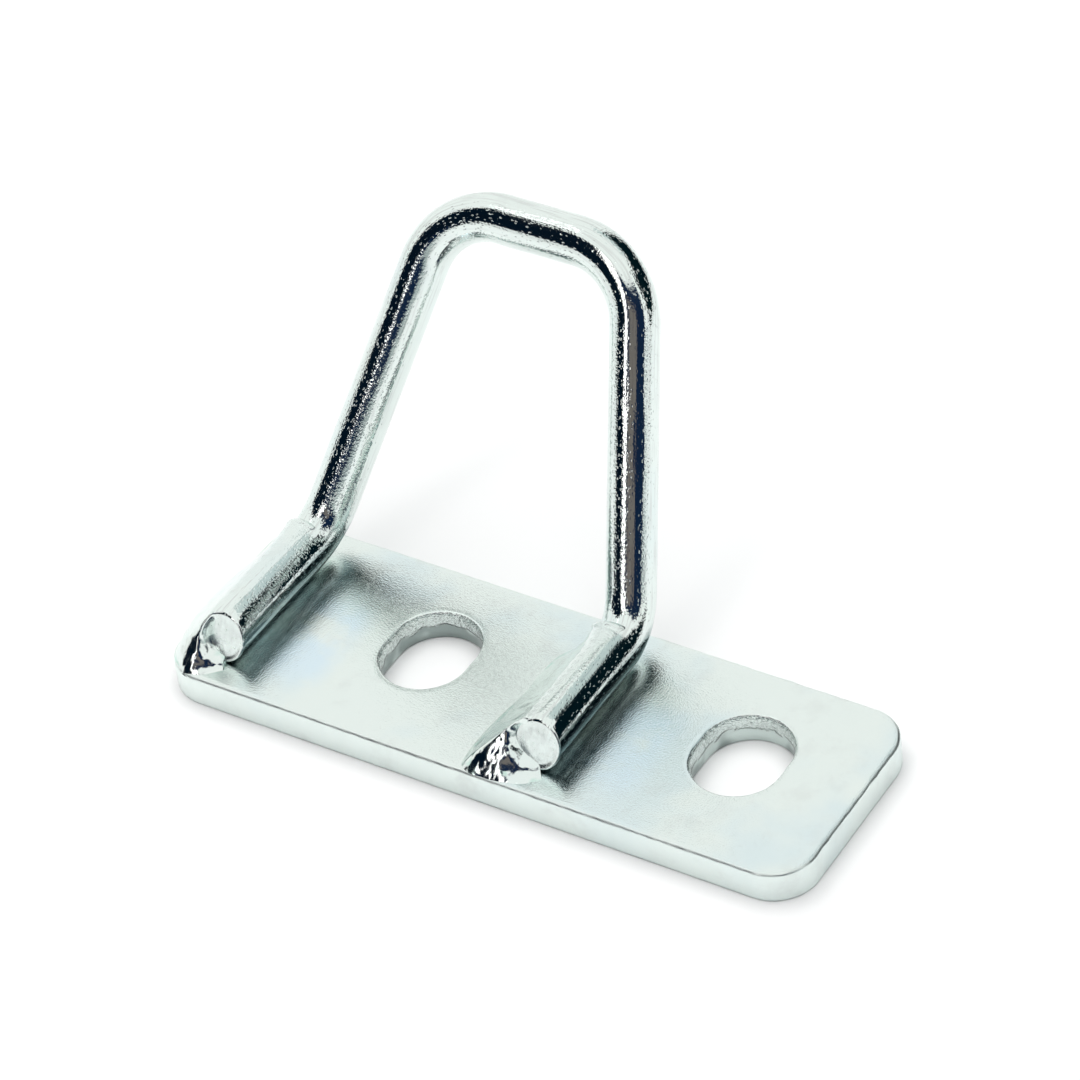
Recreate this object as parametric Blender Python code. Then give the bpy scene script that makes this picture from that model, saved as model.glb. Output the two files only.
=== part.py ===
"""Welded pad eye: a slotted flat-bar base plate and a bent round-bar loop, welded by its two feet.

The frame is metres with +Z up. The origin is the centre of the plate's underside, X runs along
the plate, and the loop rises from the +Y side of the plate and leans out over that edge.
"""
import math

import bmesh
import bpy
from mathutils import Vector

MM = 0.001
GAP = 0.3 * MM                      # clearance left between pieces that touch

# Base plate
PLATE_LENGTH = 88.0 * MM
PLATE_WIDTH = 30.0 * MM
PLATE_THICKNESS = 4.2 * MM
PLATE_CORNER_RADIUS = 5.6 * MM
PLATE_EDGE_ROUND = 0.4 * MM
SLOT_WIDTH = 11.2 * MM              # along X
SLOT_LENGTH = 13.6 * MM             # along Y
SLOT_CENTRES_X = (-14.8 * MM, 28.2 * MM)
SLOT_CENTRE_Y = 1.4 * MM

# Round bar loop, measured on the bar's centre line
BAR_DIAMETER = 6.1 * MM
LOOP_CENTRE_X = -14.4 * MM
LOOP_BASE_WIDTH = 44.0 * MM         # between the two feet
LOOP_TOP_WIDTH = 26.3 * MM          # between the top corners, before they are rounded
LOOP_SIDE_LENGTH = 43.5 * MM        # from foot corner to top corner, square to the top bar
LOOP_LEAN = math.radians(32)        # from upright, towards +Y
FOOT_CORNER_Y = 11.4 * MM
FOOT_END_Y = -9.6 * MM
FOOT_END_SLANT = 0.45               # the sheared end reaches this much further at the bottom
FOOT_BEND_RADIUS = 7.5 * MM
TOP_BEND_RADIUS = 9.6 * MM
BAR_SIDES = 24
BEND_STEPS = 10

# Weld beads: one along the -X side of each foot, one over the left part of its cut end.
# These are in millimetres, from the bar's axis towards -X, and each list runs from back to front.
BEAD_STEPS = 5                      # facets across a bead's face
BEAD_JOINT_Y = -8.1                 # where a side bead meets its end bead
LEFT_TOES = (5.0, 6.6, 7.2, 7.2, 6.0, 3.6)
RIGHT_TOES = (5.0, 7.6, 8.6, 8.8, 8.6, 8.0)
LEFT_BULGE = 1.5
RIGHT_BULGE = 0.5

ZINC_BRIGHT = (0.80, 0.84, 0.83, 1.0)
ZINC_SATIN = (0.74, 0.80, 0.78, 1.0)
ZINC_ON_WELD = (0.70, 0.74, 0.72, 1.0)

BAR_RADIUS = BAR_DIAMETER / 2
BAR_AXIS_Z = PLATE_THICKNESS + GAP + BAR_RADIUS
BEAD_BOTTOM_Z = PLATE_THICKNESS + GAP


def clear_scene():
    for obj in list(bpy.data.objects):
        bpy.data.objects.remove(obj, do_unlink=True)


def make_material(name, colour, roughness):
    material = bpy.data.materials.new(name)
    material.use_nodes = True
    shader = material.node_tree.nodes["Principled BSDF"]
    shader.inputs["Base Color"].default_value = colour
    shader.inputs["Roughness"].default_value = roughness
    shader.inputs["Metallic"].default_value = 1.0
    return material


def add_object(name, bm, material=None, sharp_angle=35):
    bmesh.ops.recalc_face_normals(bm, faces=bm.faces)
    mesh = bpy.data.meshes.new(name)
    bm.to_mesh(mesh)
    bm.free()
    mesh.shade_smooth()
    mesh.set_sharp_from_angle(angle=math.radians(sharp_angle))
    obj = bpy.data.objects.new(name, mesh)
    bpy.context.collection.objects.link(obj)
    if material is not None:
        mesh.materials.append(material)
    return obj


def hide_cutter(obj):
    obj.hide_render = True
    obj.display_type = "WIRE"
    return obj


def cut(obj, cutter):
    boolean = obj.modifiers.new("Cut " + cutter.name, "BOOLEAN")
    boolean.operation = "DIFFERENCE"
    boolean.solver = "EXACT"
    boolean.object = cutter


def extrude_outline(outline, bottom, top):
    """A prism over a closed XY outline, from one height to another."""
    bm = bmesh.new()
    base = bm.faces.new([bm.verts.new((x, y, bottom)) for x, y in outline])
    raised = bmesh.ops.extrude_face_region(bm, geom=[base])["geom"]
    lifted = [item for item in raised if isinstance(item, bmesh.types.BMVert)]
    bmesh.ops.translate(bm, verts=lifted, vec=(0, 0, top - bottom))
    return bm


def rounded_box_outline(width, length, radius, steps, centre=(0.0, 0.0)):
    """Corner arcs of a rounded rectangle, anticlockwise; half the width as radius makes a slot."""
    points = []
    for quarter, (side_x, side_y) in enumerate(((1, 1), (-1, 1), (-1, -1), (1, -1))):
        arc_x = centre[0] + side_x * (width / 2 - radius)
        arc_y = centre[1] + side_y * (length / 2 - radius)
        for step in range(steps + 1):
            angle = math.radians(90) * (quarter + step / steps)
            point = (arc_x + radius * math.cos(angle), arc_y + radius * math.sin(angle))
            if not points or math.dist(point, points[-1]) > 1e-6:
                points.append(point)
    if math.dist(points[0], points[-1]) < 1e-6:
        points.pop()
    return points


def make_base_plate(material):
    outline = rounded_box_outline(PLATE_LENGTH, PLATE_WIDTH, PLATE_CORNER_RADIUS, 8)
    plate = add_object("base_plate", extrude_outline(outline, 0.0, PLATE_THICKNESS), material)
    rounding = plate.modifiers.new("Rolled edge", "BEVEL")
    rounding.width = PLATE_EDGE_ROUND
    rounding.segments = 2
    rounding.limit_method = "ANGLE"
    rounding.angle_limit = math.radians(50)
    for number, centre_x in enumerate(SLOT_CENTRES_X, start=1):
        slot = rounded_box_outline(SLOT_WIDTH, SLOT_LENGTH, SLOT_WIDTH / 2, 10, (centre_x, SLOT_CENTRE_Y))
        punch = extrude_outline(slot, -PLATE_THICKNESS, 2 * PLATE_THICKNESS)
        cut(plate, hide_cutter(add_object(f"slot_punch_{number}", punch)))
    return plate


def loop_corners():
    """Centre-line corners from the left foot's end, over the top, to the right foot's end."""
    rise = LOOP_SIDE_LENGTH * math.cos(LOOP_LEAN)
    reach = LOOP_SIDE_LENGTH * math.sin(LOOP_LEAN)
    half = [
        (LOOP_BASE_WIDTH / 2, FOOT_END_Y, BAR_AXIS_Z),
        (LOOP_BASE_WIDTH / 2, FOOT_CORNER_Y, BAR_AXIS_Z),
        (LOOP_TOP_WIDTH / 2, FOOT_CORNER_Y + reach, BAR_AXIS_Z + rise),
    ]
    left = [Vector((LOOP_CENTRE_X - x, y, z)) for x, y, z in half]
    right = [Vector((LOOP_CENTRE_X + x, y, z)) for x, y, z in reversed(half)]
    return left + right


def rounded_path(corners, radii):
    """The corner points with each inner corner swapped for an arc of its radius."""
    path = [corners[0]]
    for before, corner, after, radius in zip(corners, corners[1:], corners[2:], radii):
        back = (before - corner).normalized()
        ahead = (after - corner).normalized()
        half_angle = back.angle(ahead) / 2
        centre = corner + (back + ahead).normalized() * radius / math.sin(half_angle)
        start = corner + back * radius / math.tan(half_angle) - centre
        turn = math.pi - 2 * half_angle
        for step in range(BEND_STEPS + 1):
            angle = turn * step / BEND_STEPS
            path.append(centre + start * math.cos(angle) - back * radius * math.sin(angle))
    path.append(corners[-1])
    return path


def sweep_round_bar(path, radius, end_slant=0.0):
    """A solid round bar along a path, its rings carried along without twist."""
    bm = bmesh.new()
    rings = []
    side = Vector((1, 0, 0))
    for index, point in enumerate(path):
        before = path[max(index - 1, 0)]
        after = path[min(index + 1, len(path) - 1)]
        tangent = ((point - before).normalized() + (after - point).normalized()).normalized()
        side = (side - tangent * side.dot(tangent)).normalized()
        other = tangent.cross(side)
        slant = end_slant if index in (0, len(path) - 1) else 0.0
        ring = []
        for step in range(BAR_SIDES):
            angle = math.tau * step / BAR_SIDES
            place = point + radius * (side * math.cos(angle) + other * math.sin(angle))
            place.y += slant * (place.z - point.z)
            ring.append(bm.verts.new(place))
        rings.append(ring)
    for ring, following in zip(rings, rings[1:]):
        for step in range(BAR_SIDES):
            ahead = (step + 1) % BAR_SIDES
            bm.faces.new((ring[step], ring[ahead], following[ahead], following[step]))
    bm.faces.new(rings[0])
    bm.faces.new(reversed(rings[-1]))
    return bm


def make_wire_loop(material):
    radii = (FOOT_BEND_RADIUS, TOP_BEND_RADIUS, TOP_BEND_RADIUS, FOOT_BEND_RADIUS)
    path = rounded_path(loop_corners(), radii)
    return add_object("wire_loop", sweep_round_bar(path, BAR_RADIUS, FOOT_END_SLANT), material)


def foot_clearance(name, foot_x):
    """A hidden cutter: the foot's bar with the gap around it and past its cut end."""
    path = [Vector((foot_x, FOOT_END_Y - GAP, BAR_AXIS_Z)), Vector((foot_x, FOOT_CORNER_Y, BAR_AXIS_Z))]
    bar = sweep_round_bar(path, BAR_RADIUS + GAP, FOOT_END_SLANT)
    return hide_cutter(add_object(name, bar))


def bead_section(y, toe, inner, crest, bulge):
    """One slice of a bead: flat on the plate, a swelling face from toe to crest, then inwards.

    toe, inner and the crest's side are distances from the bar's axis towards -X.
    """
    crest_side, crest_height = crest
    points = [(inner, 0.0)]
    for step in range(BEAD_STEPS + 1):
        along = step / BEAD_STEPS
        swell = bulge * math.sin(math.pi * along)
        side = toe + (crest_side - toe) * along + swell * 0.6
        height = crest_height * along + swell * 0.8
        points.append((side, height))
    points.append((inner, crest_height))
    return [(side * MM, y * MM, height * MM) for side, height in points]


def make_weld_bead(name, foot_x, sections, material, clearance):
    """Skins the slices into one closed bead beside the foot at foot_x."""
    bm = bmesh.new()
    rings = []
    for section in sections:
        ring = [bm.verts.new((foot_x - side, y, BEAD_BOTTOM_Z + height)) for side, y, height in section]
        rings.append(ring)
    count = len(rings[0])
    for ring, following in zip(rings, rings[1:]):
        for step in range(count):
            ahead = (step + 1) % count
            bm.faces.new((ring[step], ring[ahead], following[ahead], following[step]))
    bm.faces.new(rings[0])
    bm.faces.new(reversed(rings[-1]))
    bead = add_object(name, bm, material)
    cut(bead, clearance)
    return bead


def make_foot_welds(side_name, foot_x, toes, bulge, material):
    """The side bead and the end bead of one foot; toes are the bead's widths from back to front."""
    clearance = foot_clearance(side_name + "_foot_clearance", foot_x)
    start, middle, wide, joint, corner, front = toes
    side_sections = [
        bead_section(7.4, start, 0.4, (1.8, 3.2), 0.3),
        bead_section(4.5, middle, 0.4, (1.6, 5.2), bulge * 0.5),
        bead_section(-1.0, middle, 0.4, (1.4, 5.6), bulge * 0.8),
        bead_section(-5.0, wide, 0.4, (1.5, 5.7), bulge),
        bead_section(BEAD_JOINT_Y, joint, 0.4, (1.6, 5.6), bulge),
    ]
    make_weld_bead(side_name + "_side_weld", foot_x, side_sections, material, clearance)
    end_sections = [
        bead_section(BEAD_JOINT_Y - GAP / MM, joint, -0.6, (1.6, 5.5), bulge),
        bead_section(-11.0, joint, -1.2, (1.4, 4.2), bulge * 0.8),
        bead_section(-12.8, corner, -0.8, (1.8, 2.2), bulge * 0.6),
        bead_section(-14.6, front, 0.2, (2.4, 0.5), 0.1),
    ]
    make_weld_bead(side_name + "_end_weld", foot_x, end_sections, material, clearance)


def main():
    clear_scene()
    make_base_plate(make_material("Satin zinc", ZINC_SATIN, 0.35))
    make_wire_loop(make_material("Bright zinc", ZINC_BRIGHT, 0.16))
    weld_finish = make_material("Zinc on weld", ZINC_ON_WELD, 0.24)
    left_x = LOOP_CENTRE_X - LOOP_BASE_WIDTH / 2
    right_x = LOOP_CENTRE_X + LOOP_BASE_WIDTH / 2
    make_foot_welds("left", left_x, LEFT_TOES, LEFT_BULGE, weld_finish)
    make_foot_welds("right", right_x, RIGHT_TOES, RIGHT_BULGE, weld_finish)


main()
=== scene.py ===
"""Finished surfaces and studio for a welded pad eye, laid out as an add-on and run as a script.

The solid model fixes every size and place. Each piece here stands for one or more of its solids:
the slotted plate, the bent round bar and the weld beads, all in bright zinc over steel.
"""
import math
from bisect import bisect_left

import bmesh
import bpy
from mathutils import Matrix, Vector, noise


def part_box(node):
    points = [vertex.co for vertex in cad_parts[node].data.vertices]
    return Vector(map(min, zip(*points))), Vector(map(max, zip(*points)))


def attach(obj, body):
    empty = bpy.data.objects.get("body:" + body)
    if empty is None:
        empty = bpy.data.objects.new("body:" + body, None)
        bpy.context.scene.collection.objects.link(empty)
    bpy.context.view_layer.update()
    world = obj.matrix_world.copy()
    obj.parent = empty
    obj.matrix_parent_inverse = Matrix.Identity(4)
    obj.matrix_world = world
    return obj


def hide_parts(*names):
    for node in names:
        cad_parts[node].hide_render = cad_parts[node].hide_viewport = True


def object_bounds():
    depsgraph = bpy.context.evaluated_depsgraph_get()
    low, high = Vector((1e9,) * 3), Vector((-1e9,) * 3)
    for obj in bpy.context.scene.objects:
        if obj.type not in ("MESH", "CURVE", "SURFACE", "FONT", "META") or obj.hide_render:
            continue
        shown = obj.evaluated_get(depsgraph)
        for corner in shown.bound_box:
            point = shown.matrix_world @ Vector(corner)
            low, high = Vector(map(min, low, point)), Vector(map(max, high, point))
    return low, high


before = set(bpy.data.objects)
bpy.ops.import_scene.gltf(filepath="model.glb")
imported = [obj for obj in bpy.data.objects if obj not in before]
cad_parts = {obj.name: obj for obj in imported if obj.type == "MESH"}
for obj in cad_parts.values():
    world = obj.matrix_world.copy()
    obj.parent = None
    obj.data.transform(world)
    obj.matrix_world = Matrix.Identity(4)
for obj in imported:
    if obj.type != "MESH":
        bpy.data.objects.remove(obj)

bl_info = {
    "name": "Pad Eye Studio",
    "version": (1, 0, 0),
    "blender": (4, 5, 0),
    "location": "View3D > Sidebar > Pad Eye",
    "description": "Builds the plated surfaces of a welded pad eye around its solid model",
    "category": "Mesh",
}

MM = 0.001
BODY = "root"
CAD_LOW, CAD_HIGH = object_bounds()
PLATE_LOW, PLATE_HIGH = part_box("base_plate")
LOOP_LOW, LOOP_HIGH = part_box("wire_loop")
PLATE_TOP = PLATE_HIGH.z


# ---- Settings ----

def length_setting(name, description, default):
    return bpy.props.FloatProperty(
        name=name, description=description, default=default, min=0.0, unit="LENGTH", precision=5)


def angle_setting(name, description, degrees):
    return bpy.props.FloatProperty(
        name=name, description=description, default=math.radians(degrees), unit="ROTATION")


def colour_setting(name, description, default):
    return bpy.props.FloatVectorProperty(
        name=name, description=description, default=default, size=3, min=0.0, max=1.0, subtype="COLOR")


def share_setting(name, description, default):
    return bpy.props.FloatProperty(
        name=name, description=description, default=default, min=0.0, max=1.0, subtype="FACTOR")


class PlateSettings(bpy.types.PropertyGroup):
    """Sizes of the plate that its solid's box doesn't give"""

    corner_radius: length_setting("Corner radius", "Radius of the plate's four corners", 5.6 * MM)
    slot_width: length_setting("Slot width", "Width of each slot along the plate", 11.2 * MM)
    slot_length: length_setting("Slot length", "Length of each slot across the plate", 13.6 * MM)
    slot_x: bpy.props.FloatVectorProperty(
        name="Slot centres", description="Where the two slots are centred along the plate",
        default=(-14.8 * MM, 28.2 * MM), size=2, unit="LENGTH", precision=5)
    slot_y: length_setting("Slot offset", "Where both slots are centred across the plate", 1.4 * MM)
    edge_round: length_setting("Edge rounding", "How far the rolled edge reaches in", 0.42 * MM)


class LoopSettings(bpy.types.PropertyGroup):
    """Sizes of the bent bar that its solid's box doesn't give"""

    bar_diameter: length_setting("Bar diameter", "Diameter of the round bar", 6.1 * MM)
    top_width: length_setting("Top width", "Between the top corners before rounding", 26.3 * MM)
    lean: angle_setting("Lean", "How far the loop leans back from upright", 32)
    foot_bend: length_setting("Foot bend", "Centre-line radius of the two foot bends", 7.5 * MM)
    top_bend: length_setting("Top bend", "Centre-line radius of the two top bends", 9.6 * MM)
    toe_out: length_setting("Toe out", "How far the left foot's end splays outwards", 0.4 * MM)
    end_roll: length_setting("End roll", "How far the shear rolled the bar's top edge down", 0.32 * MM)
    end_slant: bpy.props.FloatProperty(
        name="End slant", description="How far the sheared ends lean, as a slope", default=0.34)


class FinishSettings(bpy.types.PropertyGroup):
    """Colours and roughness of the bright zinc"""

    zinc: colour_setting("Zinc", "Colour of clean bright zinc", (0.79, 0.865, 0.835))
    zinc_blue: colour_setting("Blue zinc", "Colour of the bluer patches of passivation", (0.66, 0.79, 0.83))
    # Painted shade: this dark teal on the feet's lower side stands in for the shade and dark reflections
    # there.
    painted_foot_shade: colour_setting("Recess", "Colour of the painted shade low on the feet", (0.10, 0.19, 0.20))
    zinc_dull: colour_setting("Dull zinc", "Colour of the duller, greyer patches", (0.62, 0.66, 0.645))
    # The slots' lower band is partly its own smoother, duller zinc and partly painted shade of the shadowed
    # floor that it faces; its darkest patches are painted shade.
    slot_smear_and_shade: colour_setting(
        "Slot smear", "Colour of the smooth lower band in the slots", (0.66, 0.75, 0.72))
    slot_painted_shade: colour_setting("Slot shade", "Colour of the darkest shaded patches in the slots", (0.24, 0.29, 0.28))
    flux_green: colour_setting(
        "Flux green", "Colour of the stained patches at the welds' toes", (0.50, 0.74, 0.66))
    heat_blue: colour_setting("Heat blue", "Colour of the heat tint beside the feet", (0.70, 0.83, 0.89))
    plate_roughness: share_setting("Plate roughness", "Mean roughness of the plate's faces", 0.11)
    bar_roughness: share_setting("Bar roughness", "Mean roughness of the drawn bar", 0.07)
    weld_roughness: share_setting("Weld roughness", "Mean roughness of the weld beads", 0.09)


class StudioSettings(bpy.types.PropertyGroup):
    """The camera, the floor and the lights"""

    azimuth: angle_setting("Azimuth", "Camera azimuth; 0 looks along +Y", 36.42)
    elevation: angle_setting("Elevation", "Camera height above the horizon", 40.73)
    roll: angle_setting("Roll", "Camera roll about its own line of sight", -7.92)
    distance: length_setting("Distance", "From the camera to the point that it aims at", 0.6)
    aim: bpy.props.FloatVectorProperty(
        name="Aim", description="The point that the camera looks at",
        default=(-13.14 * MM, 24.06 * MM, 4.2 * MM), size=3, subtype="TRANSLATION", unit="LENGTH")
    lens: bpy.props.FloatProperty(
        name="Lens", description="Focal length", default=163.2, min=10.0, unit="CAMERA")
    floor: colour_setting("Floor", "Colour of the plain floor", (0.96, 0.965, 0.965))
    overhead_power: bpy.props.FloatProperty(
        name="Overhead power", description="Power of the light over the floor", default=7.0, min=0.0,
        unit="POWER")
    tent: colour_setting("Tent", "Colour of the white light tent", (1.0, 1.0, 0.99))


class PadEyeSettings(bpy.types.PropertyGroup):
    """Everything that the operators read"""

    plate: bpy.props.PointerProperty(type=PlateSettings)
    loop: bpy.props.PointerProperty(type=LoopSettings)
    finish: bpy.props.PointerProperty(type=FinishSettings)
    studio: bpy.props.PointerProperty(type=StudioSettings)


# ---- Mesh helpers ----

def wobble(point, size, seed):
    """Smooth noise from -1 to 1 whose lumps are about size across."""
    return noise.noise(Vector(point) / size + Vector((seed, 1.7 * seed, -seed)))


def skin(bm, rings, material=0):
    """Quads between each closed ring and the next."""
    count = len(rings[0])
    for ring, following in zip(rings, rings[1:]):
        for step in range(count):
            ahead = (step + 1) % count
            face = bm.faces.new((ring[step], ring[ahead], following[ahead], following[step]))
            face.material_index = material


def add_piece(name, bm, materials, stands_for, sharp_degrees=50):
    """Turns the mesh into a piece that rides on the body and stands for its solids."""
    bmesh.ops.recalc_face_normals(bm, faces=bm.faces)
    mesh = bpy.data.meshes.new(name)
    bm.to_mesh(mesh)
    bm.free()
    mesh.shade_smooth()
    mesh.set_sharp_from_angle(angle=math.radians(sharp_degrees))
    for material in materials:
        mesh.materials.append(material)
    piece = bpy.data.objects.new(name, mesh)
    bpy.context.scene.collection.objects.link(piece)
    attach(piece, BODY)
    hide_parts(*stands_for)


# ---- Node helpers ----

def new_node_material(name):
    material = bpy.data.materials.new(name)
    material.use_nodes = True
    return material, Nodes(material.node_tree), material.node_tree.nodes["Principled BSDF"]


class Nodes:
    """Short ways to add and link shader nodes."""

    def __init__(self, tree):
        self.tree = tree

    def make(self, kind, inputs, output, **values):
        """Adds a node, gives its inputs numbers, colours or other nodes' outputs, returns an output."""
        node = self.tree.nodes.new(kind)
        for key, value in values.items():
            setattr(node, key, value)
        for key, source in inputs.items():
            self.link(source, node.inputs[key])
        return node.outputs[output]

    def link(self, source, target):
        if isinstance(source, (int, float, tuple, list)):
            target.default_value = source
        else:
            self.tree.links.new(source, target)

    def position(self, scale=(1, 1, 1), attribute=None):
        """Millimetre coordinates, stretched by scale: the object's own, or a stored attribute's."""
        if attribute:
            place = self.make("ShaderNodeAttribute", {}, "Vector", attribute_name=attribute)
        else:
            place = self.make("ShaderNodeTexCoord", {}, "Object")
        inputs = {"Vector": place, "Scale": [axis / MM for axis in scale]}
        return self.make("ShaderNodeMapping", inputs, "Vector")

    def noise(self, vector, scale, detail=2.0, roughness=0.5, distortion=0.0):
        inputs = {"Vector": vector, "Scale": scale, "Detail": detail, "Roughness": roughness,
                  "Distortion": distortion}
        return self.make("ShaderNodeTexNoise", inputs, "Fac")

    def cells(self, vector, scale):
        """Distance to the nearest of scattered points."""
        return self.make("ShaderNodeTexVoronoi", {"Vector": vector, "Scale": scale}, "Distance")

    def fit(self, value, low, high, to_low=0.0, to_high=1.0, smooth=False):
        """The value's range from low to high, mapped to another range and clamped to it."""
        inputs = {"Value": value, "From Min": low, "From Max": high, "To Min": to_low, "To Max": to_high}
        kind = "SMOOTHSTEP" if smooth else "LINEAR"
        return self.make("ShaderNodeMapRange", inputs, "Result", interpolation_type=kind)

    def math(self, operation, first, second=0.0):
        return self.make("ShaderNodeMath", {0: first, 1: second}, "Value", operation=operation)

    def product(self, *factors):
        """The factors multiplied together."""
        result = factors[0]
        for factor in factors[1:]:
            result = self.math("MULTIPLY", result, factor)
        return result

    def away(self, value, middle):
        """How far a value is from a middle one."""
        return self.math("ABSOLUTE", self.math("SUBTRACT", value, middle))

    def split(self, vector):
        """The X, Y and Z of a vector."""
        node = self.make("ShaderNodeSeparateXYZ", {"Vector": vector}, "X").node
        return node.outputs["X"], node.outputs["Y"], node.outputs["Z"]

    def mix(self, factor, first, second):
        """A mix of two colours; 6, 7 and 2 are the node's colour sockets."""
        inputs = {"Factor": factor, 6: first, 7: second}
        return self.make("ShaderNodeMix", inputs, 2, data_type="RGBA")

    def relief(self, shader, *layers):
        """Bumps on top of each other, each (pattern, depth in millimetres, strength)."""
        normal = None
        for pattern, depth, strength in layers:
            inputs = {"Height": pattern, "Distance": depth * MM, "Strength": strength}
            if normal is not None:
                inputs["Normal"] = normal
            normal = self.make("ShaderNodeBump", inputs, "Normal")
        self.link(normal, shader.inputs["Normal"])


def rgba(colour):
    return (colour[0], colour[1], colour[2], 1.0)


# ---- Materials ----

# Nearly all of a noise texture's values lie between these.
NOISE_RANGE = (0.3, 0.7)

# Where parts of the finish and the painted shade on the feet fade in, from nothing to full: heights above
# the plate's underside in millimetres, then a place along Y in millimetres.
# The first two bound the painted shade on the feet's lower side.
PAINTED_SHADE_BOTTOM = (5.6, 6.6)
PAINTED_SHADE_TOP = (9.3, 8.0)
TORN_BAND = (1.9, 2.5)
FLUX_STAIN = (5.9, 4.9)
BEAD_LIP = (9.6, 11.0)
KNOBS_FRONT = (-9.2, -10.6)

# The heat tint beside a foot, in millimetres: its middle's distance from the foot's axis and its
# middle's y, then how far from that middle it fades in along X and along Y.
HEAT_TINT_MIDDLE = (8.0, -3.0)
HEAT_TINT_X = (6.0, 2.0)
HEAT_TINT_Y = (10.0, 4.0)


def new_zinc_material(name):
    material, nodes, shader = new_node_material(name)
    shader.inputs["Metallic"].default_value = 1.0
    return material, nodes, shader


def zinc_colour(nodes, where, finish, blue_amount, dull_amount):
    """Pale zinc with soft blue patches and duller haze."""
    blue = nodes.noise(where, scale=0.07, detail=3.0)
    blue = nodes.fit(blue, 0.48, 0.68, 0.0, blue_amount, smooth=True)
    haze = nodes.noise(where, scale=0.22, detail=4.0, roughness=0.6)
    haze = nodes.fit(haze, 0.5, 0.75, 0.0, dull_amount, smooth=True)
    tinted = nodes.mix(blue, rgba(finish.zinc), rgba(finish.zinc_blue))
    return nodes.mix(haze, tinted, rgba(finish.zinc_dull))


def vary_roughness(nodes, shader, pattern, smoothest, roughest):
    """Lets the roughness follow a noise pattern."""
    nodes.link(nodes.fit(pattern, *NOISE_RANGE, smoothest, roughest), shader.inputs["Roughness"])


def add_heat_tint(nodes, where, colour, finish, foot_places):
    """A cloudy blue patch on the plate beside each foot."""
    x, y, _ = nodes.split(where)
    middle_x, middle_y = HEAT_TINT_MIDDLE
    cloud = nodes.noise(where, scale=0.16, detail=3.0, roughness=0.6)
    cloud = nodes.fit(cloud, 0.32, 0.60, smooth=True)
    near = nodes.fit(nodes.away(y, middle_y), *HEAT_TINT_Y, smooth=True)
    for foot_x in foot_places:
        beside = nodes.fit(nodes.away(x, foot_x / MM + middle_x), *HEAT_TINT_X, smooth=True)
        colour = nodes.mix(nodes.product(beside, near, cloud), colour, rgba(finish.heat_blue))
    return colour


def make_plate_face_material(finish, foot_places):
    """Satin zinc with a rolled grain, a few specks and a blue heat tint beside each foot."""
    material, nodes, shader = new_zinc_material("satin_zinc_face")
    where = nodes.position()
    along = nodes.position(scale=(0.12, 1.0, 1.0))
    colour = zinc_colour(nodes, where, finish, blue_amount=0.55, dull_amount=0.25)
    colour = add_heat_tint(nodes, where, colour, finish, foot_places)
    specks = nodes.fit(nodes.cells(where, scale=0.55), 0.03, 0.07, 0.35, 0.0)
    nodes.link(nodes.mix(specks, colour, rgba(finish.zinc_dull)), shader.inputs["Base Color"])
    vary_roughness(nodes, shader, nodes.noise(where, scale=0.5, detail=4.0, roughness=0.6),
                   finish.plate_roughness - 0.04, finish.plate_roughness + 0.06)
    waves = nodes.noise(where, scale=0.10, detail=1.0)
    rolling = nodes.noise(along, scale=1.6, detail=3.0, roughness=0.55)
    grain = nodes.noise(where, scale=4.5, roughness=0.6)
    nodes.relief(shader, (waves, 0.20, 0.5), (rolling, 0.006, 0.6), (grain, 0.038, 0.9))
    return material


def make_plate_edge_material(finish):
    """Duller zinc with upright shear marks."""
    material, nodes, shader = new_zinc_material("sheared_zinc_edge")
    where = nodes.position()
    upright = nodes.position(scale=(1.0, 1.0, 0.15))
    colour = zinc_colour(nodes, where, finish, blue_amount=0.2, dull_amount=0.4)
    nodes.link(colour, shader.inputs["Base Color"])
    vary_roughness(nodes, shader, nodes.noise(where, scale=0.9, detail=4.0, roughness=0.6), 0.28, 0.42)
    shear = nodes.noise(upright, scale=2.2, detail=3.0, roughness=0.6)
    nodes.relief(shader, (shear, 0.05, 0.5), (nodes.noise(where, scale=6.0), 0.012, 0.6))
    return material


def make_slot_wall_material(finish):
    """A smooth punched band, darkened with painted shade, with torn, grainy zinc above it."""
    material, nodes, shader = new_zinc_material("torn_zinc_slot_wall")
    where = nodes.position()
    vary_roughness(nodes, shader, nodes.noise(where, scale=1.2, detail=4.0, roughness=0.6), 0.10, 0.24)
    _, _, height = nodes.split(where)
    ragged = nodes.fit(nodes.noise(where, scale=0.5), *NOISE_RANGE, -0.5, 0.5)
    torn = nodes.fit(nodes.math("ADD", height, ragged), *TORN_BAND, smooth=True)
    # Painted shade: a darker colour and large dark patches on the lower band stand in for the shadowed floor
    # that it reflects.
    stain_and_shade = nodes.fit(nodes.noise(where, scale=0.17), 0.42, 0.54, 0.0, 0.8, smooth=True)
    smeared_and_shaded = nodes.mix(stain_and_shade, rgba(finish.slot_smear_and_shade), rgba(finish.slot_painted_shade))
    colour = zinc_colour(nodes, where, finish, blue_amount=0.1, dull_amount=0.5)
    nodes.link(nodes.mix(torn, smeared_and_shaded, colour), shader.inputs["Base Color"])
    depth = nodes.fit(torn, 0.0, 1.0, 0.06, 1.0)
    grains = nodes.product(nodes.noise(where, scale=2.5, roughness=0.6), depth)
    nodes.relief(shader, (grains, 0.30, 1.0))
    return material


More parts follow.
